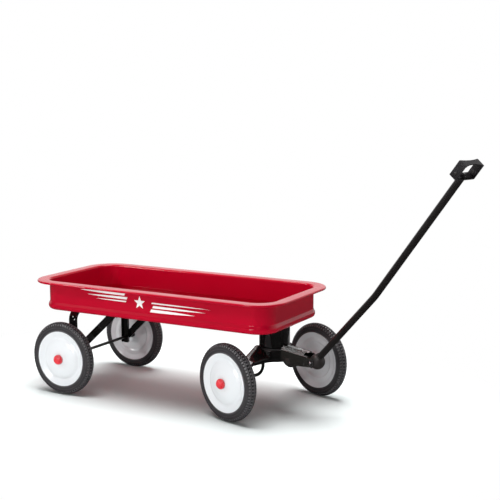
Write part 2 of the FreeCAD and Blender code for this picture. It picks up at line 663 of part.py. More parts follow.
def grip_rivets():
    made = []
    for side in (-1, 1):
        outer, inner = GRIP_W / 2, GRIP_W / 2 - GRIP_T - YOKE_T - 0.15
        head = turned([(0, outer), (4.6, outer), (3.6, outer + 1.8, 1.5), (0, outer + 2.2)])
        tail = rod(V(0, inner - 1.2, 0), V(0, inner, 0), 4.0)
        rivet = head.fuse(rod(V(0, inner - 1, 0), V(0, outer + 0.5, 0), 2.5)).fuse(tail).removeSplitter()
        if side < 0:
            rivet = mirrored(rivet)
        rivet.translate(AXIS_Z * GRIP_RIVET_H)
        made.append(rivet)
    return made


def hinge_bolt():
    outer = FORK_HALF
    head = turned([(0, outer + 3.2), (2.6, outer + 3.0, 3), (4.9, outer + 1.2, 2), (4.9, outer), (0, outer)])
    shank = rod(V(0, -outer - 7.5, 0), V(0, outer + 1, 0), PIVOT_R)
    bolt = mirrored(head.fuse(shank).removeSplitter())
    return moved(bolt, V(PIVOT_A, 0, PIVOT_Z))


def hinge_nut():
    nut = hex_prism(V(PIVOT_A, FORK_HALF + 0.1, PIVOT_Z), 11.0, 5.5, AXIS_Y)
    return nut.cut(rod(V(PIVOT_A, 0, PIVOT_Z), V(PIVOT_A, 60, PIVOT_Z), PIVOT_R + 0.1))


# ---- assembly ----
def build():
    keep("tray", tray())
    fasteners("pedestal", pedestal_bolts(), PLATE)
    fasteners("rear_bolster", bolster_bolts(), PLATE)
    fasteners("brace", brace_bolts(), 2.5)
    keep("steering_pedestal", pedestal())
    keep("bearing_ring", bearing_ring())
    keep("king_pin", king_pin())
    keep("king_nut", king_nut())
    keep("rear_bolster", rear_bolster())
    brace = rear_brace()
    keep("rear_right_brace", brace)
    keep("rear_left_brace", mirrored(brace))
    keep("rear_axle", rear_axle())
    wheels()
    keep_steered("front_bolster", front_bolster())
    keep_steered("front_axle", front_axle())
    axle_saddles()
    keep_steered("tongue", tongue())
    keep_steered("tongue_rivets", *tongue_rivets())
    keep_steered("hinge_bolt", hinge_bolt())
    keep_steered("hinge_nut", hinge_nut())
    keep_steered("handle_knuckle", knuckle())
    keep_steered("handle_tube", handle_tube())
    keep_steered("handle_grip", grip_local(handle_grip()))
    keep_steered("grip_yoke", grip_local(grip_yoke()))
    keep_steered("grip_rivets", *[grip_local(r) for r in grip_rivets()])


build()
os.makedirs("parts", exist_ok=True)
for node, shape in SOLIDS.items():
    if not shape.isValid():
        print("not valid:", node)
    shape.exportStep(f"parts/{node}.step")
print(len(SOLIDS), "nodes")
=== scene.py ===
"""Looks of a child's pull wagon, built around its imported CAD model.

Metres. +X is forward, +Y is the wagon's left and +Z is up, with the origin on the floor between the axles.
"""
import json
import math

import bmesh
import bpy
from mathutils import Matrix, Vector

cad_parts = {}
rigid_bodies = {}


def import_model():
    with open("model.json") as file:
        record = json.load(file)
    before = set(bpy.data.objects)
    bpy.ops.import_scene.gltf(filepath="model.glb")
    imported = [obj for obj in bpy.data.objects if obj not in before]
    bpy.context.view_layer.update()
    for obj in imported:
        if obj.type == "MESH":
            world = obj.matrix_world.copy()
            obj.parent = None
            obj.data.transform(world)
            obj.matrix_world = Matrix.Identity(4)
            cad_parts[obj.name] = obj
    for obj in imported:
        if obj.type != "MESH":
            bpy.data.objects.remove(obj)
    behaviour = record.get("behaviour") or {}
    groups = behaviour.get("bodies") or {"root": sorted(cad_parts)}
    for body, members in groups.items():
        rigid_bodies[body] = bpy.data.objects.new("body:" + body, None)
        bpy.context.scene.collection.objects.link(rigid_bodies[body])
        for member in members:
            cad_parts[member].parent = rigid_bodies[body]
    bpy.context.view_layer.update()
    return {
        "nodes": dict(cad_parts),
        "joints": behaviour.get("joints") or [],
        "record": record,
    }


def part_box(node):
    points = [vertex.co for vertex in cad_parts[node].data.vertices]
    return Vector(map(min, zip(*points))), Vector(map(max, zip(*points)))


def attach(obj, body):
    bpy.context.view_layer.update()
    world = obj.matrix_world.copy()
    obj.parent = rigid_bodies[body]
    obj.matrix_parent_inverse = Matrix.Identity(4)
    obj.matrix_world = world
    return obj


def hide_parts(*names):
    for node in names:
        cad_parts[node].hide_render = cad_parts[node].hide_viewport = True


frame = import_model()
MM = 0.001
NODES = frame["nodes"]
JOINTS = {joint["name"]: joint for joint in frame["joints"]}

# ---- driving dimensions, as in the CAD model ----
SHEET = 1.0 * MM                     # the tray's steel
PLATE = 2.5 * MM                     # brackets and bolsters
RIM_W = 37.0 * MM                    # how far the rim stands out from the wall
CORNER_R = 56.0 * MM                 # the wall's corner, outside
FLOOR_R = 30.0 * MM                  # the flat floor's corner
CURL = 6.8 * MM                      # height of the rim's rolled edge
BEAD_OUT, BEAD_H = 4.8 * MM, 25.0 * MM   # the swelling round the tray's foot
DISC = 1.4 * MM                      # the wheel discs' steel
TYRE_HALF = 15.0 * MM
TREAD_PITCHES = 72
SLOT_DEPTH, GROOVE_DEPTH = 3.4 * MM, 2.4 * MM
RING_HEIGHT = 0.35 * MM              # the thin line moulded round the tyre's side
BEAD_R, BEAD_HALF = 83.0 * MM, 12.2 * MM   # where the tyre meets its rim
KNUCKLE_R, KNUCKLE_HALF = 22.0 * MM, 16.9 * MM
BALL_AHEAD = 9.0 * MM                # from the hinge bolt to the middle of the knuckle's ball
CUP_SEAT = 48.0                      # mm, the recess in the bolster that the drum stands in
TUBE_TILT, TUBE_RISE = 45.5, 3.9 * MM      # degrees, and how far the tube's line passes above the ball
BROKEN_EDGE = 0.4                    # mm, on every CAD piece that isn't listed here
WIDER_EDGE = {"handle_grip": 1.0, "tongue": 1.2, "rear_bolster": 1.2, "steering_pedestal": 1.0}

# ---- the view ----
CAMERA_PLACE = (1.7717, -2.7059, 0.9439)
CAMERA_YAW, CAMERA_PITCH, CAMERA_ROLL = 119.5592, -8.7619, -0.1776   # degrees
LENS_MM, SENSOR_MM = 77.36, 36.0


# ---- lines and meshes ----
def rounded(points, closed=False, steps=8):
    """Points along a path through (a, b, radius) corners, each corner an arc of that radius."""
    out = []
    count = len(points)
    for i, corner in enumerate(points):
        here = Vector(corner[:2])
        radius = corner[2] if len(corner) > 2 else 0.0
        if radius <= 0 or (not closed and i in (0, count - 1)):
            out.append(here)
            continue
        back = (Vector(points[i - 1][:2]) - here).normalized()
        ahead = (Vector(points[(i + 1) % count][:2]) - here).normalized()
        half = back.angle(ahead) / 2
        start = here + back * (radius / math.tan(half))
        centre = here + (back + ahead).normalized() * (radius / math.sin(half))
        first = start - centre
        sweep = math.pi - 2 * half
        turn = -1 if back.x * ahead.y - back.y * ahead.x > 0 else 1
        for k in range(steps + 1):
            angle = turn * sweep * k / steps
            c, s = math.cos(angle), math.sin(angle)
            out.append(centre + Vector((first.x * c - first.y * s, first.x * s + first.y * c)))
    return out


def thickened(path, thickness):
    """A closed section: the path, and back along its left side at that thickness."""
    side = []
    for i, point in enumerate(path):
        before, after = path[max(i - 1, 0)], path[min(i + 1, len(path) - 1)]
        way = (after - before).normalized()
        side.append(point + Vector((-way.y, way.x)) * thickness)
    return path + side[::-1]


def eased(points, steps=6):
    """Points through (a, b, reach) corners, each cut by a curve that starts up to reach before it."""
    out = [Vector(points[0][:2])]
    for before, corner, after in zip(points, points[1:], points[2:]):
        here = Vector(corner[:2])
        ends = []
        for other in (before, after):
            way = Vector(other[:2]) - here
            share = min(corner[2] / max(way.length, 1e-9), 0.49)
            ends.append(here + way * share)
        for k in range(steps + 1):
            t = k / steps
            out.append(ends[0] * (1 - t) ** 2 + here * (2 * t * (1 - t)) + ends[1] * t ** 2)
    out.append(Vector(points[-1][:2]))
    return out


def resampled(path, step):
    """The same path with no gap longer than step."""
    out = [path[0]]
    for a, b in zip(path, path[1:]):
        count = max(1, math.ceil((b - a).length / step))
        out += [a.lerp(b, k / count) for k in range(1, count + 1)]
    return out


def height_at(path, across):
    """The path's second coordinate where its first one reaches across."""
    for a, b in zip(path, path[1:]):
        if a.x <= across <= b.x and b.x > a.x:
            return a.y + (b.y - a.y) * (across - a.x) / (b.x - a.x)
    return path[-1].y


def smooth_step(value, low, high):
    t = min(max((value - low) / (high - low), 0.0), 1.0)
    return t * t * (3 - 2 * t)


def new_piece(name, verts, faces, material, sharp=35.0):
    """A smooth-shaded mesh object with sharp edges where it turns by more than a number of degrees."""
    mesh = bpy.data.meshes.new(name)
    mesh.from_pydata([tuple(v) for v in verts], [], faces)
    shape = bmesh.new()
    shape.from_mesh(mesh)
    bmesh.ops.remove_doubles(shape, verts=shape.verts, dist=1e-6)
    bmesh.ops.recalc_face_normals(shape, faces=shape.faces)
    shape.to_mesh(mesh)
    shape.free()
    mesh.polygons.foreach_set("use_smooth", [True] * len(mesh.polygons))
    mesh.set_sharp_from_angle(angle=math.radians(sharp))
    mesh.materials.append(material)
    piece = bpy.data.objects.new(name, mesh)
    bpy.context.scene.collection.objects.link(piece)
    return piece


def lofted(rings, close=True):
    """Vertices and quads through equal closed rings, with the last ring joined to the first if asked."""
    verts = [v for ring in rings for v in ring]
    n, faces = len(rings[0]), []
    for i in range(len(rings) if close else len(rings) - 1):
        j = (i + 1) % len(rings)
        for k in range(n):
            m = (k + 1) % n
            faces.append((i * n + k, i * n + m, j * n + m, j * n + k))
    return verts, faces


def revolved(name, section, place, material, segments=144, sharp=35.0):
    """A closed (radius, offset) section turned round the local Y axis and put in place."""
    rings = []
    for i in range(segments):
        angle = 2 * math.pi * i / segments
        c, s = math.cos(angle), math.sin(angle)
        rings.append([place @ Vector((r * s, y, r * c)) for r, y in section])
    return new_piece(name, *lofted(rings), material, sharp)


def settle(piece, body, slot, *nodes):
    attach(piece, body)
    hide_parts(*nodes)
    return piece


UP = Vector((0, 0, 1))


def placed(axes, place):
    """The matrix that takes local X, Y and Z to three axes, and the origin to a place."""
    return Matrix.Translation(place) @ Matrix(axes).transposed().to_4x4()


# ---- materials ----
def node(tree, kind, **inputs):
    made = tree.nodes.new(kind)
    for key, value in inputs.items():
        made.inputs[key.replace("_", " ")].default_value = value
    return made


def noise(tree, scale, detail=3.0, stretch=(1, 1, 1)):
    """Noise in the piece's own space, so that it rides with the piece."""
    place = tree.nodes.new("ShaderNodeTexCoord")
    sized = node(tree, "ShaderNodeMapping", Scale=stretch)
    made = node(tree, "ShaderNodeTexNoise", Scale=scale, Detail=detail, Roughness=0.55)
    tree.links.new(place.outputs["Object"], sized.inputs["Vector"])
    tree.links.new(sized.outputs["Vector"], made.inputs["Vector"])
    return made.outputs["Fac"]


def spread_between(tree, value, low, high, start=0.3, end=0.7):
    """Maps a noise value onto a range."""
    made = node(tree, "ShaderNodeMapRange", From_Min=start, From_Max=end, To_Min=low, To_Max=high)
    tree.links.new(value, made.inputs["Value"])
    return made.outputs["Result"]


# how sharp a ridge is where its edge colour starts and is full, and a hollow where its painted shade does,
# 0.5 being flat
EDGE_SPREAD = 0.06
PIT_SHADE_START, PIT_SHADE_FULL = 0.47, 0.42


def surface(name, colour, roughness, metallic=0.0, coat=0.0, coat_roughness=0.05, variation=0.08,
            patches=14.0, roughness_span=0.06, grain=400.0, grain_height=0.02, stretch=(1, 1, 1),
            edge=None, edge_start=0.53, pit_shade=None, specular=0.5, tint=(1, 1, 1)):
    """A finish that varies a little over the piece, takes another colour on its edges, and painted shade in
    its pits.
    """
    made = bpy.data.materials.new(name)
    made.use_nodes = True
    tree = made.node_tree
    shader = tree.nodes["Principled BSDF"]
    shader.inputs["Metallic"].default_value = metallic
    shader.inputs["Specular IOR Level"].default_value = specular
    shader.inputs["Specular Tint"].default_value = tuple(tint) + (1,)
    shader.inputs["Coat Weight"].default_value = coat
    shader.inputs["Coat Roughness"].default_value = coat_roughness
    ramp = tree.nodes.new("ShaderNodeValToRGB")
    ramp.color_ramp.elements[0].position, ramp.color_ramp.elements[1].position = 0.3, 0.7
    for stop, gain in zip(ramp.color_ramp.elements, (1 - variation, 1 + variation)):
        stop.color = tuple(min(1.0, c * gain) for c in colour) + (1,)
    tree.links.new(noise(tree, patches, 4.0), ramp.inputs["Fac"])
    colour_out = ramp.outputs["Color"]
    # ridges take the edge colour, and hollows take the pit colour, which is painted shade
    for tone, low, high in ((edge, edge_start, edge_start + EDGE_SPREAD), (pit_shade, PIT_SHADE_START, PIT_SHADE_FULL)):
        if tone:
            shape = tree.nodes.new("ShaderNodeNewGeometry")
            share = spread_between(tree, shape.outputs["Pointiness"], 0, 1, low, high)
            mix = tree.nodes.new("ShaderNodeMix")
            mix.data_type = "RGBA"
            mix.inputs["B"].default_value = tuple(tone) + (1,)
            tree.links.new(share, mix.inputs["Factor"])
            tree.links.new(colour_out, mix.inputs["A"])
            colour_out = mix.outputs["Result"]
    tree.links.new(colour_out, shader.inputs["Base Color"])
    rough = spread_between(tree, noise(tree, patches * 2.3, 5.0, stretch),
                           max(0.02, roughness - roughness_span), roughness + roughness_span)
    tree.links.new(rough, shader.inputs["Roughness"])
    bump = node(tree, "ShaderNodeBump", Strength=1.0, Distance=grain_height * MM)
    tree.links.new(noise(tree, grain, 3.0, stretch), bump.inputs["Height"])
    tree.links.new(bump.outputs["Normal"], shader.inputs["Normal"])
    if coat > 0:
        tree.links.new(bump.outputs["Normal"], shader.inputs["Coat Normal"])
    return made


RED = surface("red_enamel", (0.42, 0.0004, 0.017), 0.36, coat=0.55, coat_roughness=0.03, variation=0.05,
              patches=6.0, grain=260.0, grain_height=0.010, specular=0.2, tint=(1.0, 0.2, 0.24))
BLACK = surface("black_enamel", (0.0035, 0.0030, 0.0030), 0.13, coat=0.9, coat_roughness=0.03,
                variation=0.2, grain=300.0, grain_height=0.006, edge=(0.012, 0.011, 0.010),
                roughness_span=0.03, specular=0.3)
SATIN = surface("satin_black", (0.021, 0.017, 0.016), 0.45, coat=0.15, coat_roughness=0.25, variation=0.12,
                grain=700.0, grain_height=0.02, edge=(0.045, 0.040, 0.038), specular=0.4)
TUBE = surface("tube_enamel", (0.009, 0.0072, 0.0070), 0.36, coat=0.35, coat_roughness=0.12, variation=0.15,
               grain=500.0, grain_height=0.015, edge=(0.02, 0.018, 0.017), specular=0.3)
GRIP = surface("grip_black", (0.012, 0.010, 0.012), 0.38, coat=0.3, coat_roughness=0.2, variation=0.12,
               grain=900.0, grain_height=0.02, edge=(0.10, 0.09, 0.105), edge_start=0.54, specular=0.35)
AXLE = surface("axle_black", (0.006, 0.0055, 0.0055), 0.34, coat=0.4, coat_roughness=0.12, variation=0.15,
               grain=600.0, grain_height=0.02, specular=0.35)
WHITE = surface("white_enamel", (0.74, 0.755, 0.775), 0.34, coat=1.0, coat_roughness=0.04, variation=0.008,
                patches=5.0, roughness_span=0.02, grain=120.0, grain_height=0.006)
DECAL = surface("white_paint", (0.84, 0.82, 0.82), 0.30, coat=0.5, coat_roughness=0.08, variation=0.02,
                patches=60.0, grain=900.0, grain_height=0.006)
CAP = surface("red_cap", (0.70, 0.030, 0.042), 0.30, coat=0.6, coat_roughness=0.08, variation=0.05,
              patches=40.0, grain=900.0, grain_height=0.008)
# the tyre's edge colour is a painted highlight on its tread blocks' edges, and its pit colour is painted
# shade in the slots and grooves
RUBBER = surface("tyre_rubber", (0.034, 0.030, 0.033), 0.42, variation=0.14, patches=30.0,
                 roughness_span=0.08, grain=1500.0, grain_height=0.05, edge=(0.27, 0.26, 0.27),
                 edge_start=0.53, pit_shade=(0.003, 0.003, 0.003))
STEEL = surface("bare_steel", (0.50, 0.50, 0.51), 0.34, metallic=1.0, variation=0.10, patches=60.0,
                roughness_span=0.10, grain=900.0, grain_height=0.03, stretch=(1, 1, 6))
ZINC = surface("zinc_plate", (0.72, 0.73, 0.75), 0.24, metallic=1.0, variation=0.08, patches=90.0,
               roughness_span=0.08, grain=1200.0, grain_height=0.02)
BEARING = surface("bearing_plastic", (0.028, 0.028, 0.029), 0.50, variation=0.10, patches=40.0,
                  grain=1300.0, grain_height=0.04)
SLOTS = {"tray_red": RED, "frame_black": BLACK, "knuckle_black": SATIN, "grip_black": GRIP,
         "axle_black": AXLE, "bare_steel": STEEL, "zinc": ZINC, "bearing_plastic": BEARING, "tyre": RUBBER,
         "hub_white": WHITE, "cap_red": CAP}
OWN_FINISH = {"handle_tube": TUBE}


def finish_cad_nodes():
    """Each CAD node takes its slot's finish, smooth shading across its facets, and broken edges."""
    for part in frame["record"]["subparts"]:
        name = part["node"]
        piece = NODES[name]
        piece.data.materials.clear()
        piece.data.materials.append(OWN_FINISH.get(name, SLOTS[part["material_slot"]]))
        for layer in ("custom_normal", "sharp_edge", "sharp_face"):
            if layer in piece.data.attributes:
                piece.data.attributes.remove(piece.data.attributes[layer])
        piece.data.polygons.foreach_set("use_smooth", [True] * len(piece.data.polygons))
        weld = piece.modifiers.new("weld", "WELD")
        weld.merge_threshold = 0.002 * MM
        flat = piece.modifiers.new("flat_faces", "DECIMATE")
        flat.decimate_type = "DISSOLVE"
        flat.angle_limit = math.radians(0.5)
        bevel = piece.modifiers.new("broken_edges", "BEVEL")
        bevel.width = WIDER_EDGE.get(name, BROKEN_EDGE) * MM
        bevel.segments = 2
        bevel.limit_method = "ANGLE"
        bevel.angle_limit = math.radians(38)
        bevel.harden_normals = True


# ---- the tray ----
def tray_section():
    """The wall from the floor to the rolled rim: (out from a corner's centre, height)."""
    low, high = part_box("tray")
    bottom, top = low.z, high.z
    edge = CORNER_R + RIM_W - SHEET
    under = top - SHEET
    path = rounded([
        (FLOOR_R, bottom),
        (CORNER_R + BEAD_OUT, bottom, 11 * MM),
        (CORNER_R + BEAD_OUT, bottom + BEAD_H * 0.62, 7 * MM),
        (CORNER_R, bottom + BEAD_H, 7 * MM),
        (CORNER_R, under, 5 * MM),
        (edge, under, CURL / 2 - SHEET),
        (edge, top - CURL + SHEET, CURL / 2 - SHEET - 0.01 * MM),
        (edge - 4 * MM, top - CURL + SHEET)], steps=10)
    return thickened(path, SHEET)


def make_tray():
    low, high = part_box("tray")
    middle = (low + high) / 2
    half_x = (high.x - low.x) / 2 - RIM_W - CORNER_R
    half_y = (high.y - low.y) / 2 - RIM_W - CORNER_R
    section = tray_section()
    rings, steps = [], 28
    for k, (sx, sy) in enumerate(((1, 1), (-1, 1), (-1, -1), (1, -1))):
        x, y = middle.x + sx * half_x, sy * half_y
        for i in range(steps + 1):
            angle = math.pi / 2 * (k + i / steps)
            c, s = math.cos(angle), math.sin(angle)
            rings.append([Vector((x + out * c, y + out * s, z)) for out, z in section])
    verts, faces = lofted(rings)
    # the floor's two sides stand in for the strip that would close the section across its edge
    n = len(section)
    faces.append(tuple(i * n for i in range(len(rings))))
    faces.append(tuple(i * n + n - 1 for i in range(len(rings))))
    faces = [f for f in faces if len(f) > 4 or not {f[0] % n, f[1] % n} == {0, n - 1}]
    return settle(new_piece("tray_shell", verts, faces, RED, 50.0), "chassis", "tray_red", "tray")


def spear(start, end, level, width, lean=0.5):
    """A stripe from a blunt slanted start to a long point at its end."""
    length = end - start
    upper, lower = [], []
    for k in range(25):
        t = k / 24
        half = width / 2 * (1 - t ** 2.2)
        x = start + length * t
        upper.append((x + lean * half, level + half))
        lower.append((x - lean * half, level - half))
    return upper + lower[-2::-1]


def star(x, z, reach, points=5):
    outline = []
    for k in range(2 * points):
        angle = math.pi / 2 + math.pi * k / points
        r = reach if k % 2 == 0 else reach * 0.42
        outline.append((x + r * math.cos(angle), z + r * math.sin(angle)))
    return outline


def make_ornament():
    """Racing stripes and a star in white paint on both long walls: start, end, height and width in mm."""
    low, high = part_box("tray")
    wall = (high.y - low.y) / 2 - RIM_W
    thick = 0.25 * MM
    shapes = [spear(-96, -262, 330, 9.0), spear(-88, -236, 318, 7.0), spear(-92, -202, 308, 4.0),
              star(-43, 309, 20.0),
              spear(0, 204, 312, 4.0), spear(4, 186, 301, 7.0), spear(-4, 150, 289, 9.0)]
    for side, name in ((-1, "right"), (1, "left")):
        verts, faces = [], []
        for shape in shapes:
            start, n = len(verts), len(shape)
            for out in (wall - 0.1 * MM, wall + thick):
                verts += [Vector((x * MM, side * out, z * MM)) for x, z in shape]
            faces.append(tuple(range(start, start + n)))
            faces.append(tuple(range(start + n, start + 2 * n)))
            for k in range(n):
                m = (k + 1) % n
                faces.append((start + k, start + m, start + n + m, start + n + k))
        piece = new_piece(f"{name}_side_ornament", verts, faces, DECAL, 30.0)
        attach(piece, "chassis")


# ---- front truck: a ahead, l to its left, z up, from the floor under the king pin ----
def truck_axes():
    left = -Vector(JOINTS["handle_tilt"]["axis"]).normalized()
    return left.cross(UP), left, UP


def truck_place():
    king_pin = JOINTS["steer"]["pos_m"]
    return placed(truck_axes(), (king_pin[0], king_pin[1], 0))


def bolster_section(l, top, width, bottom):
    """Across the pressing: an upright back, a crown or the cup's edge, a hollow hood, a lip and a skirt."""
    cup = math.sqrt(max(CUP_SEAT ** 2 - l ** 2, 0.0))
    crown = max(cup - 5 * (1 - smooth_step(cup, 0, 20)), -5.0)
    lip = min(160.0, top - 3.0)
    neck_a = crown + (width - crown) * 0.42
    neck_z = top - (top - lip) * 0.56
    floor = min(bottom, top)
    return eased([(-width, floor), (-width, top, 7), (crown, top, 14 - 11 * smooth_step(cup, 0, 20)),
                  (neck_a, max(neck_z, lip), 12), (width, max(lip, floor), 4.5), (width, floor)], 7)


def make_bolster():
    place = truck_place()
    top_line = resampled(rounded([(0, 183), (48.2, 183), (50.5, 194, 1.5), (57, 194, 12), (121, 153, 30),
                                  (150, 146, 10), (150, 98)], steps=12), 2.0)
    plan = rounded([(0, 50), (22, 50, 40), (45, 24, 34), (150.01, 24)], steps=16)
    arch = rounded([(0, 150), (112, 149, 14), (126, 134, 14), (130, 98), (150.01, 98)], steps=12)
    half = [(p.x, p.y, height_at(plan, p.x), height_at(arch, p.x)) for p in top_line]
    rows = [(-l, top, width, bottom) for l, top, width, bottom in half[:0:-1]] + half
    rings = []
    for l, top, width, bottom in rows:
        section = bolster_section(l, top, width, bottom)
        rings.append([place @ Vector((a * MM, l * MM, z * MM)) for a, z in section])
    n = len(rings[0])
    verts = [v for ring in rings for v in ring]
    faces = [(i * n + k, i * n + k + 1, (i + 1) * n + k + 1, (i + 1) * n + k)
             for i in range(len(rings) - 1) for k in range(n - 1)]
    piece = new_piece("front_bolster_pressing", verts, faces, BLACK, 60.0)
    sheet = piece.modifiers.new("plate", "SOLIDIFY")
    sheet.thickness = PLATE
    sheet.offset = -1
    settle(piece, "front_truck", "frame_black", "front_bolster")


def make_knuckle():
    """Ball with two flats for the fork, and the short collar that the tube goes into."""
    ahead, left, up = truck_axes()
    ball = Vector(JOINTS["handle_tilt"]["pos_m"]) + ahead * BALL_AHEAD
    ball.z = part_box("handle_knuckle")[0].z + KNUCKLE_R
    flat_edge = math.sqrt(KNUCKLE_R ** 2 - KNUCKLE_HALF ** 2) - 0.6 * MM
    reach = math.asin(KNUCKLE_HALF / KNUCKLE_R)
    turns = [reach * (k / 16 - 1) for k in range(1, 32)]
    arc = [Vector((KNUCKLE_R * math.cos(t), KNUCKLE_R * math.sin(t))) for t in turns]
    right_flat = [Vector((0, -KNUCKLE_HALF)), Vector((flat_edge, -KNUCKLE_HALF))]
    left_flat = [Vector((flat_edge, KNUCKLE_HALF)), Vector((0, KNUCKLE_HALF))]
    section = right_flat + arc + left_flat
    body = revolved("knuckle_ball", section, placed((ahead, left, up), ball), SATIN, 96, 40.0)
    settle(body, "handle", "knuckle_black", "handle_knuckle")
    angle = math.radians(TUBE_TILT)
    along = ahead * math.cos(angle) + up * math.sin(angle)
    across = along.cross(left)
    collar_place = placed((across, along, left), ball + across * TUBE_RISE)
    lip = rounded([(9.6, 8), (9.6, 19.6, 0.5), (10.2, 21.6, 0.6), (11.6, 21.6, 1.0), (12.4, 18.0, 2),
                   (12.4, 8)], steps=5)
    collar = revolved("knuckle_collar", [p * MM for p in lip], collar_place, SATIN, 72, 40.0)
    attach(collar, "handle")


# ---- wheels, drawn round local Y with the outer side at +Y ----
def wheel_place(joint):
    """From a wheel's own frame to where the CAD model holds it, outer side out."""
    spin = JOINTS[joint]
    axis = Vector(spin["axis"]).normalized()
    outward = axis if "left" in spin["child"] else -axis
    return placed((outward.cross(UP), outward, UP), spin["pos_m"])


def tyre_outline():
    """Half of the tyre's outside, from the middle of the crown to the bead."""
    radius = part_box("rear_right_tyre")[1].z / 2
    return rounded([
        (radius, 0), (radius, 6.5 * MM, 14 * MM), (103.5 * MM, TYRE_HALF, 12 * MM),
        (94 * MM, TYRE_HALF, 10 * MM), (88.6 * MM, 14.2 * MM, 2 * MM), (87 * MM, BEAD_HALF, 0.5 * MM),
        (BEAD_R, BEAD_HALF)], steps=12)


def point_along(path, distance):
    """The point at a distance along a path, and the direction to its left there."""
    for a, b in zip(path, path[1:]):
        step = (b - a).length
        if distance <= step or b is path[-1]:
            way = (b - a).normalized() if step > 0 else Vector((0, 1))
            return a + way * distance, Vector((-way.y, way.x))
        distance -= step


# stations across half the tread: distance from the crown's middle, and what is cut there
STATIONS = [(0.0, "rib"), (1.4, "rib"), (1.7, "groove"), (2.9, "groove"), (3.2, "rib"), (3.3, "inner"),
            (5.6, "inner"), (8.0, "inner"), (8.1, "rib"), (8.6, "groove"), (10.0, "groove"), (10.5, "rib"),
            (11.6, "rib"), (11.9, "outer"), (14.0, "outer"), (16.2, "outer"), (18.6, "outer"), (18.9, "side"),
            (19.6, "side"), (20.5, "side"), (22.4, "side"), (24.0, "side"), (24.3, "ring"),
            (25.2, "ring"), (25.5, "side"), (26.8, "side"), (28.0, "side"), (29.4, "side")]
# where one tread pitch changes: the share of the pitch, and whether each row is cut there
PITCH = [(0.02, False, False), (0.06, True, True), (0.28, True, True), (0.44, True, True),
         (0.48, False, False), (0.70, False, False)]


def cut_depth(kind, inner_cut, outer_cut):
    if kind == "groove":
        return GROOVE_DEPTH
    if (kind == "inner" and inner_cut) or (kind == "outer" and outer_cut):
        return SLOT_DEPTH
    return -RING_HEIGHT if kind == "ring" else 0.0


def make_tyre(name, body, place):
    outline = tyre_outline()
    length = sum((b - a).length for a, b in zip(outline, outline[1:]))
    stations = [(s * MM, kind) for s, kind in STATIONS if s * MM < length]
    half = [point_along(outline, s) + (kind,) for s, kind in stations]
    rings = []
    for p in range(TREAD_PITCHES):
        for share, inner_cut, outer_cut in PITCH:
            angle = 2 * math.pi * (p + share) / TREAD_PITCHES
            c, s = math.cos(angle), math.sin(angle)
            line = []
            for side in (1, -1):
                row = []
                for point, inward, kind in half:
                    spot = point + inward * cut_depth(kind, inner_cut, outer_cut)
                    row.append((spot.x, side * spot.y))
                row.append((BEAD_R, side * BEAD_HALF))
                row.append((BEAD_R - 0.1 * MM, side * BEAD_HALF / 2))
                line += row if side > 0 else row[::-1][:-1]
            rings.append([place @ Vector((r * s, y, r * c)) for r, y in line])
    piece = new_piece(name + "_tread", *lofted(rings), RUBBER, 40.0)
    return settle(piece, body, "tyre", name)


def face_section():
    """Pressed face: a lip, a band sloping in, a crease and a dome up to the hub."""
    path = rounded([(9.0, 20.7), (30.0, 20.4, 60), (56.0, 13.0, 40), (64.0, 8.6, 5), (69.5, 9.2, 5),
                    (82.0, 14.2, 8), (85.2, 14.5)], steps=12)
    return thickened([p * MM for p in path], DISC)


def back_section():
    """Back of the wheel: a lip and a shallower step down to the hub."""
    path = rounded([(9.0, -9.0), (18.0, -9.0, 4), (30.0, -2.0, 12), (52.0, -4.2, 12), (58.0, -8.6, 5),
                    (70.0, -8.6, 5), (79.5, -13.4, 3), (85.2, -15.9)], steps=10)
    return thickened([p * MM for p in path], DISC)


def cap_section():
    """Round cap, hollow behind."""
    base, top, outer = 22.8, 36.5, 15.0
    path = rounded([(0.0, 30.5), (8.2, 30.5), (8.2, base), (outer, base, 1.2), (outer, 30.0, 8),
                    (9.0, top - 0.3, 9), (0.0, top)], steps=10)
    return [p * MM for p in path]


def make_wheels():
    for joint, spin in JOINTS.items():
        body = spin["child"]
        if not body.endswith("_wheel"):
            continue
        corner = body[:-len("_wheel")]
        place = wheel_place(joint)
        make_tyre(corner + "_tyre", body, place)
        face = revolved(corner + "_pressed_face", face_section(), place, WHITE)
        settle(face, body, "hub_white", corner + "_wheel_face")
        back = revolved(corner + "_pressed_back", back_section(), place, WHITE)
        settle(back, body, "hub_white", corner + "_wheel_back")
        holder = "chassis" if corner.startswith("rear") else "front_truck"
        cap = revolved(corner + "_round_cap", cap_section(), place, CAP, 72)
        settle(cap, holder, "cap_red", corner + "_hub_cap")


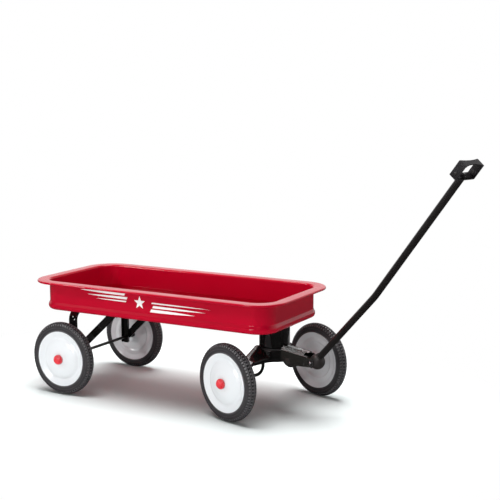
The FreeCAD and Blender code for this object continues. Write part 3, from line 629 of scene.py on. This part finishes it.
# ---- floor, light and camera ----
def make_stage():
    """A pale floor that fades to plain white round the wagon, and is dark where enamel mirrors it."""
    bpy.ops.mesh.primitive_circle_add(vertices=128, radius=60, fill_type="NGON", location=(0, 0, 0))
    floor = bpy.context.object
    floor.name = "floor"
    made = bpy.data.materials.new("pale_floor")
    made.use_nodes = True
    tree = made.node_tree
    tree.nodes.clear()
    output = tree.nodes.new("ShaderNodeOutputMaterial")
    paper = node(tree, "ShaderNodeBsdfDiffuse", Color=(0.762, 0.80, 0.797, 1), Roughness=0.9)
    dark_paper = node(tree, "ShaderNodeBsdfDiffuse", Color=(0.018, 0.017, 0.016, 1), Roughness=0.9)
    white = node(tree, "ShaderNodeEmission", Color=(1, 1, 1, 1), Strength=1.0)
    dark_white = node(tree, "ShaderNodeEmission", Color=(1, 1, 1, 1), Strength=0.06)
    path = tree.nodes.new("ShaderNodeLightPath")
    place = tree.nodes.new("ShaderNodeTexCoord")
    oval = node(tree, "ShaderNodeMapping", Location=(0, 0.12, 0), Scale=(1.0, 1.3, 1.0))
    distance = node(tree, "ShaderNodeVectorMath")
    distance.operation = "LENGTH"
    share = node(tree, "ShaderNodeMapRange", From_Min=0.62, From_Max=1.15)
    share.interpolation_type = "SMOOTHSTEP"
    near_mix, far_mix, mix = [tree.nodes.new("ShaderNodeMixShader") for _ in range(3)]
    for pair, direct, mirrored in ((near_mix, paper, dark_paper), (far_mix, white, dark_white)):
        tree.links.new(path.outputs["Is Glossy Ray"], pair.inputs[0])
        tree.links.new(direct.outputs[0], pair.inputs[1])
        tree.links.new(mirrored.outputs[0], pair.inputs[2])
    tree.links.new(place.outputs["Object"], oval.inputs["Vector"])
    tree.links.new(oval.outputs["Vector"], distance.inputs[0])
    tree.links.new(distance.outputs["Value"], share.inputs["Value"])
    tree.links.new(share.outputs["Result"], mix.inputs[0])
    tree.links.new(near_mix.outputs[0], mix.inputs[1])
    tree.links.new(far_mix.outputs[0], mix.inputs[2])
    tree.links.new(mix.outputs[0], output.inputs["Surface"])
    floor.data.materials.append(made)


def soft_light(name, place, size, power, lit=None, shading=None, aim=(0.0, 0.0, 0.2)):
    """An area lamp. It may light only one collection's pieces, and be blocked only by another's."""
    lamp = bpy.data.lights.new(name, "AREA")
    lamp.shape = "RECTANGLE"
    lamp.size, lamp.size_y = size
    lamp.energy = power
    holder = bpy.data.objects.new(name, lamp)
    holder.location = place
    holder.rotation_euler = (Vector(aim) - Vector(place)).to_track_quat("-Z", "Y").to_euler()
    bpy.context.scene.collection.objects.link(holder)
    if lit:
        holder.light_linking.receiver_collection = lit
    if shading:
        holder.light_linking.blocker_collection = shading


def make_world():
    """White to the camera, and in gloss a bright wall behind the wagon that darkens overhead."""
    world = bpy.data.worlds.new("studio")
    world.use_nodes = True
    tree = world.node_tree
    back = tree.nodes["Background"]
    back.inputs["Color"].default_value = (1, 1, 1, 1)
    path = tree.nodes.new("ShaderNodeLightPath")
    place = tree.nodes.new("ShaderNodeTexCoord")
    split = tree.nodes.new("ShaderNodeSeparateXYZ")
    behind = node(tree, "ShaderNodeMapRange", From_Min=-0.15, From_Max=0.45)
    above = node(tree, "ShaderNodeMapRange", From_Min=0.30, From_Max=0.65, To_Min=1.0, To_Max=0.12)
    wall = node(tree, "ShaderNodeMath")
    wall.operation = "MULTIPLY"
    seen_in_gloss = node(tree, "ShaderNodeMapRange", To_Min=0.02, To_Max=1.0)
    indirect, direct = [tree.nodes.new("ShaderNodeMix") for _ in range(2)]
    indirect.inputs["A"].default_value = 0.22
    direct.inputs["B"].default_value = 1.0
    tree.links.new(place.outputs["Generated"], split.inputs[0])
    tree.links.new(split.outputs["Y"], behind.inputs["Value"])
    tree.links.new(split.outputs["Z"], above.inputs["Value"])
    tree.links.new(behind.outputs["Result"], wall.inputs[0])
    tree.links.new(above.outputs["Result"], wall.inputs[1])
    tree.links.new(wall.outputs[0], seen_in_gloss.inputs["Value"])
    tree.links.new(path.outputs["Is Glossy Ray"], indirect.inputs["Factor"])
    tree.links.new(seen_in_gloss.outputs["Result"], indirect.inputs["B"])
    tree.links.new(path.outputs["Is Camera Ray"], direct.inputs["Factor"])
    tree.links.new(indirect.outputs["Result"], direct.inputs["A"])
    tree.links.new(direct.outputs["Result"], back.inputs["Strength"])
    bpy.context.scene.world = world


def make_light():
    """Lamps for the wagon and for the floor apart, so that the floor stays white and its shadow soft."""
    wagon, stage, truck = [bpy.data.collections.new(name) for name in ("wagon", "stage", "truck")]
    for piece in bpy.context.scene.objects:
        if piece.type == "MESH":
            (stage if piece.name == "floor" else wagon).objects.link(piece)
            if piece.name in ("tongue", "front_bolster_pressing"):
                truck.objects.link(piece)
    soft_light("overhead", (-0.1, 0.45, 2.7), (1.6, 1.6), 80, wagon)
    soft_light("floor_overhead", (-0.1, 0.2, 2.7), (2.3, 2.3), 200, stage)
    soft_light("fill", (-0.5, -3.3, 1.0), (1.4, 0.9), 38, wagon)
    soft_light("key", (-2.0, -1.7, 2.0), (0.5, 0.5), 26, wagon)
    soft_light("front", (1.3, -2.3, 2.5), (0.35, 0.35), 18, wagon)
    tongue_top = (0.43, -0.04, 0.19)
    soft_light("left_glint", (-1.27, -0.77, 1.44), (0.5, 0.5), 50, truck, truck, tongue_top)
    soft_light("top_glint", (-0.93, 0.17, 1.95), (0.6, 0.6), 70, truck, truck, tongue_top)
    soft_light("under_tray", (0.0, 0.02, 0.25), (0.45, 0.18), 0.17, stage, stage, (0.0, 0.02, 0.0))
    bpy.context.scene.view_settings.view_transform = "Standard"


def make_camera():
    yaw, pitch, roll = [math.radians(angle) for angle in (CAMERA_YAW, CAMERA_PITCH, CAMERA_ROLL)]
    level = math.cos(pitch)
    ahead = Vector((level * math.cos(yaw), level * math.sin(yaw), math.sin(pitch)))
    right = ahead.cross(UP).normalized()
    up = right.cross(ahead)
    tilted_right = right * math.cos(roll) + up * math.sin(roll)
    tilted_up = up * math.cos(roll) - right * math.sin(roll)
    lens = bpy.data.cameras.new("camera")
    lens.sensor_width = SENSOR_MM
    lens.lens = LENS_MM
    camera = bpy.data.objects.new("camera", lens)
    camera.matrix_world = placed((tilted_right, tilted_up, -ahead), CAMERA_PLACE)
    bpy.context.scene.collection.objects.link(camera)
    bpy.context.scene.camera = camera


finish_cad_nodes()
make_tray()
make_ornament()
make_bolster()
make_knuckle()
make_wheels()
make_stage()
make_world()
make_light()
make_camera()
